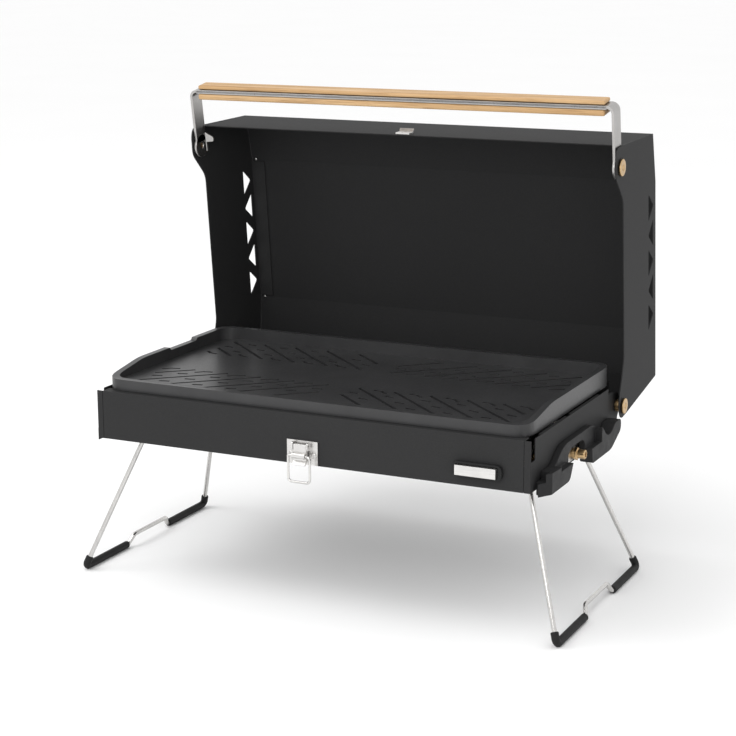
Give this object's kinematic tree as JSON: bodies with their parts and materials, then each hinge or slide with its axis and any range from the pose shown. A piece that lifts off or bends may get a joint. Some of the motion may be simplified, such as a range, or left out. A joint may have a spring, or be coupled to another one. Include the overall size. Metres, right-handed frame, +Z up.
{
  "type": "folding camp grill",
  "caption": "Table-top gas grill in a flat sheet-steel case, with a hinged lid, a wooden-gripped swing handle, a slotted grate, a draw latch and folding wire legs.",
  "frame": {"origin": "on the table, under the middle of the bounding box", "axes": "+X along the long front edge to the cook's right, +Y away from the cook, +Z up"},
  "size_m": [0.5422, 0.3854, 0.5042],
  "materials": {
    "powder_coat": "fine-textured satin black powder coat",
    "lid_interior": "matte black heat-resistant coating",
    "nonstick": "semi-gloss dark non-stick coating on a cast plate",
    "moulded_black": "moulded, lightly textured",
    "sleeve_rubber": "matte black",
    "stainless": "brushed stainless steel",
    "brass": "satin brass",
    "oak": "oiled oak",
    "ceramic": "white ceramic insulator"
  },
  "bodies": {
    "case": {"front_panel": "powder_coat", "left_side_panel": "powder_coat", "right_side_panel": "powder_coat", "back_panel": "powder_coat", "body_floor": "powder_coat", "left_hinge_bracket": "powder_coat", "right_hinge_bracket": "powder_coat", "grate": "nonstick", "left_side_guard": "moulded_black", "right_side_guard": "moulded_black", "burner_tube": "stainless", "left_burner_bracket": "stainless", "right_burner_bracket": "stainless", "inlet_plate": "stainless", "grease_tray": "stainless", "latch_plate": "stainless", "latch_pin": "stainless", "left_front_leg_bracket": "stainless", "left_rear_leg_bracket": "stainless", "right_front_leg_bracket": "stainless", "right_rear_leg_bracket": "stainless", "left_hinge_spacer": "brass", "right_hinge_spacer": "brass", "left_hinge_nut": "brass", "right_hinge_nut": "brass", "left_hinge_screw": "brass", "right_hinge_screw": "brass", "gas_valve": "brass", "gas_jet": "brass", "gas_inlet": "brass", "gas_pipe": "brass", "igniter_electrode": "ceramic"},
    "lid": {"lid_shell": "lid_interior", "lid_catch": "stainless", "lid_left_side": "powder_coat", "lid_right_side": "powder_coat", "left_handle_screw": "brass", "right_handle_screw": "brass"},
    "handle": {"handle_bar": "stainless", "upper_grip": "oak", "lower_grip": "oak"},
    "latch_lever": {"latch_lever": "stainless"},
    "latch_bail": {"latch_bail": "stainless"},
    "knob": {"knob_grip": "moulded_black", "knob_bar": "stainless", "valve_stem": "stainless"},
    "left_leg": {"left_leg_wire": "stainless", "left_front_leg_sleeve": "sleeve_rubber", "left_rear_leg_sleeve": "sleeve_rubber"},
    "right_leg": {"right_leg_wire": "stainless", "right_front_leg_sleeve": "sleeve_rubber", "right_rear_leg_sleeve": "sleeve_rubber"}
  },
  "joints": [
    {"name": "lid_hinge", "type": "hinge", "parent": "case", "child": "lid", "pos_m": [0, 0.07713, 0.17876], "axis": [1, 0, 0], "range_deg": [0, 84.06]},
    {"name": "handle_pivot", "type": "hinge", "parent": "lid", "child": "handle", "pos_m": [0, 0.0471, 0.43352], "axis": [1, 0, 0], "range_deg": [0, 90]},
    {"name": "latch_lever_pivot", "type": "hinge", "parent": "case", "child": "latch_lever", "pos_m": [0.0005, -0.18587, 0.17176], "axis": [-1, 0, 0], "range_deg": [0, 40]},
    {"name": "latch_bail_pivot", "type": "hinge", "parent": "latch_lever", "child": "latch_bail", "pos_m": [0.0005, -0.18987, 0.16276], "axis": [-1, 0, 0], "range_deg": [0, 145]},
    {"name": "knob_turn", "type": "hinge", "parent": "case", "child": "knob", "pos_m": [0.1875, -0.18687, 0.16926], "axis": [0, -1, 0], "range_deg": [0, 90]},
    {"name": "left_leg_fold", "type": "hinge", "parent": "case", "child": "left_leg", "pos_m": [-0.217, -0.04887, 0.14676], "axis": [0, -1, 0], "range_deg": [0, 109.3]},
    {"name": "right_leg_fold", "type": "hinge", "parent": "case", "child": "right_leg", "pos_m": [0.217, -0.04887, 0.14676], "axis": [0, 1, 0], "range_deg": [0, 109.3]}
  ]
}
